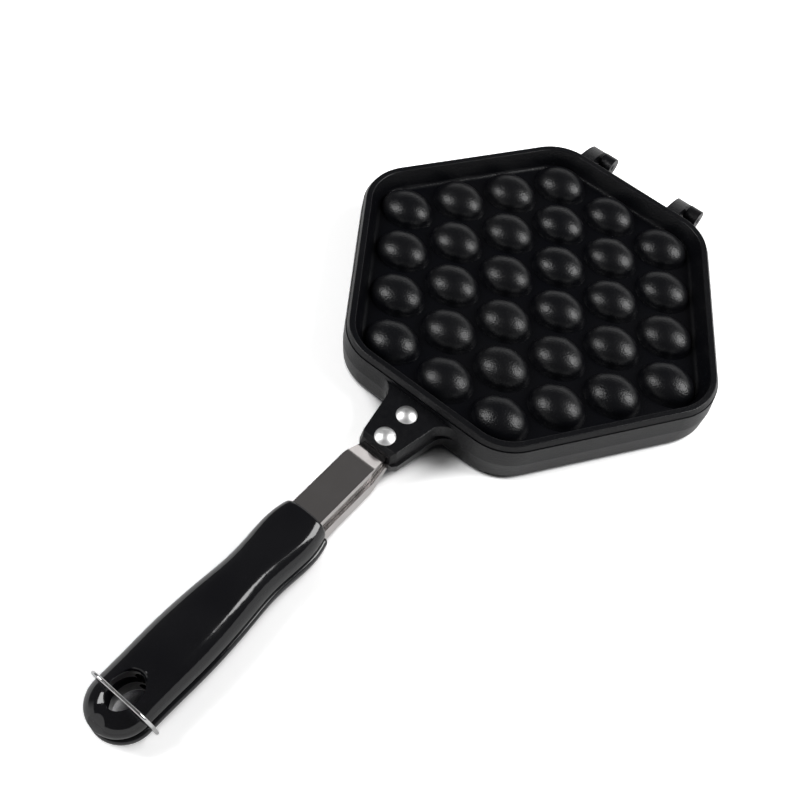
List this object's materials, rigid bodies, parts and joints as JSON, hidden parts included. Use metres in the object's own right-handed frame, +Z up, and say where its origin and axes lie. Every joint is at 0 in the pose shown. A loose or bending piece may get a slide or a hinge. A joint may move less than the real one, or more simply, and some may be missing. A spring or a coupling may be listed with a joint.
{
  "type": "egg waffle pan",
  "caption": "Two-sided hinged waffle pan for egg-shaped bubbles: six-sided black cast halves, a steel arm and half grip on each, and a wire latch over the grip ends.",
  "frame": {"origin": "under the middle of the whole pan, on the plane that the lower rim stands on", "axes": "+X along the hinge axis, +Y from the grip end towards the hinge, +Z up through the closed halves"},
  "size_m": [0.1996, 0.389, 0.0258],
  "materials": {
    "coating": "black non-stick coating with a fine grain",
    "arm_steel": "polished sheet",
    "rivet_metal": "bright, domed",
    "grip_plastic": "glossy black moulding",
    "fixing_steel": "plain",
    "wire_steel": "bright drawn wire"
  },
  "bodies": {
    "lower_half": {"lower_pan": "coating", "lower_arm": "arm_steel", "lower_rivet_inner": "rivet_metal", "lower_rivet_outer": "rivet_metal", "lower_grip": "grip_plastic", "lower_grip_screw": "fixing_steel", "lower_grip_nut": "fixing_steel", "hinge_pin_left": "fixing_steel", "hinge_pin_right": "fixing_steel"},
    "upper_half": {"upper_pan": "coating", "upper_arm": "arm_steel", "upper_rivet_inner": "rivet_metal", "upper_rivet_outer": "rivet_metal", "upper_grip": "grip_plastic", "upper_grip_screw": "fixing_steel", "upper_grip_nut": "fixing_steel"},
    "latch": {"wire_latch": "wire_steel"}
  },
  "joints": [
    {"name": "pan_hinge", "type": "hinge", "parent": "lower_half", "child": "upper_half", "pos_m": [0, 0.18955, 0.0126], "axis": [-1, 0, 0], "range_deg": [0, 180]},
    {"name": "latch_swing", "type": "hinge", "parent": "lower_half", "child": "latch", "pos_m": [0.0007, -0.17845, 0.0061], "axis": [1, 0, 0], "range_deg": [-26, 246]}
  ]
}
